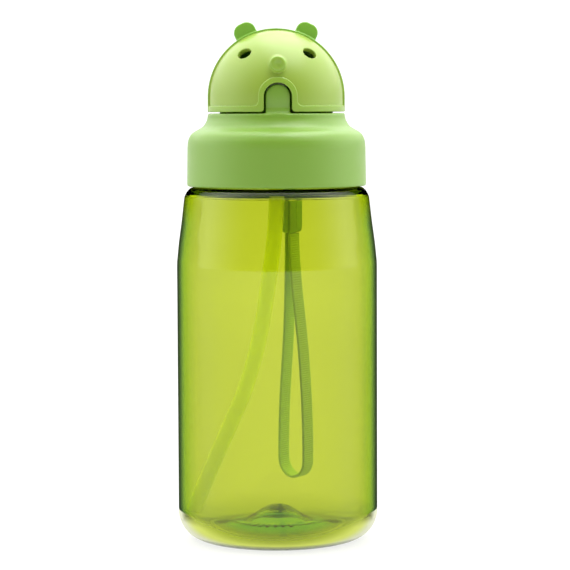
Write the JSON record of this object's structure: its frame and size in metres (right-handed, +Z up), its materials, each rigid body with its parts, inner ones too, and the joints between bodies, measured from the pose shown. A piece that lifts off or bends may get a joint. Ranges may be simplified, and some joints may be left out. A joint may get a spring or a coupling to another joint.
{
  "type": "kids water bottle",
  "caption": "Clear green kids' water bottle with a screw cap, a bear-faced visor that turns back over a folding spout, a straw and a wrist strap.",
  "frame": {"origin": "centre of the foot ring, on the surface that the bottle stands on", "axes": "+Z up along the bottle's axis, the bear's face looks to -Y, +X to the face's left as it looks out"},
  "size_m": [0.073, 0.0872, 0.1888],
  "materials": {
    "clear_green_plastic": "clear, polished",
    "cap_green_plastic": "satin moulded",
    "soft_silicone": "soft matt",
    "lime_straw_plastic": "translucent",
    "woven_green": "ribbed weave"
  },
  "bodies": {
    "bottle": {"bottle_body": "clear_green_plastic"},
    "thread_carriage": {"cap_gasket": "soft_silicone", "drinking_straw": "lime_straw_plastic"},
    "cap": {"screw_cap": "cap_green_plastic", "spout_base": "soft_silicone", "vent_valve": "soft_silicone"},
    "visor": {"visor": "cap_green_plastic"},
    "spout_middle": {"spout_middle": "soft_silicone"},
    "spout_tip": {"spout_tip": "soft_silicone"},
    "strap": {"strap_cord": "woven_green", "strap_sleeve": "cap_green_plastic", "strap_webbing": "woven_green"}
  },
  "joints": [
    {"name": "thread_rise", "type": "slide", "parent": "bottle", "child": "thread_carriage", "axis": [0, 0, 1], "range_m": [0, 0.00501]},
    {"name": "cap_turn", "type": "hinge", "parent": "thread_carriage", "child": "cap", "pos_m": [0, 0, 0.1294], "axis": [0, 0, 1], "range_deg": [0, 450]},
    {"name": "visor_hinge", "type": "hinge", "parent": "cap", "child": "visor", "pos_m": [0, 0, 0.1616], "axis": [-1, 0, 0], "range_deg": [0, 90]},
    {"name": "spout_lower_bend", "type": "hinge", "parent": "cap", "child": "spout_middle", "pos_m": [0, 0, 0.1687], "axis": [-1, 0, 0], "range_deg": [0, 31.5]},
    {"name": "spout_upper_bend", "type": "hinge", "parent": "spout_middle", "child": "spout_tip", "pos_m": [0, -0.00466, 0.17458], "axis": [-1, 0, 0], "range_deg": [0, 111]},
    {"name": "strap_swing", "type": "hinge", "parent": "cap", "child": "strap", "pos_m": [0.007, 0.0334, 0.1326], "axis": [1, 0, 0], "range_deg": [0, 120]}
  ],
  "couplings": [
    {"joint": "thread_rise", "follows": "cap_turn", "m_per_rad": 0.00063662},
    {"joint": "spout_lower_bend", "follows": "visor_hinge", "ratio": 0.3489},
    {"joint": "spout_upper_bend", "follows": "visor_hinge", "ratio": 1.2322}
  ]
}
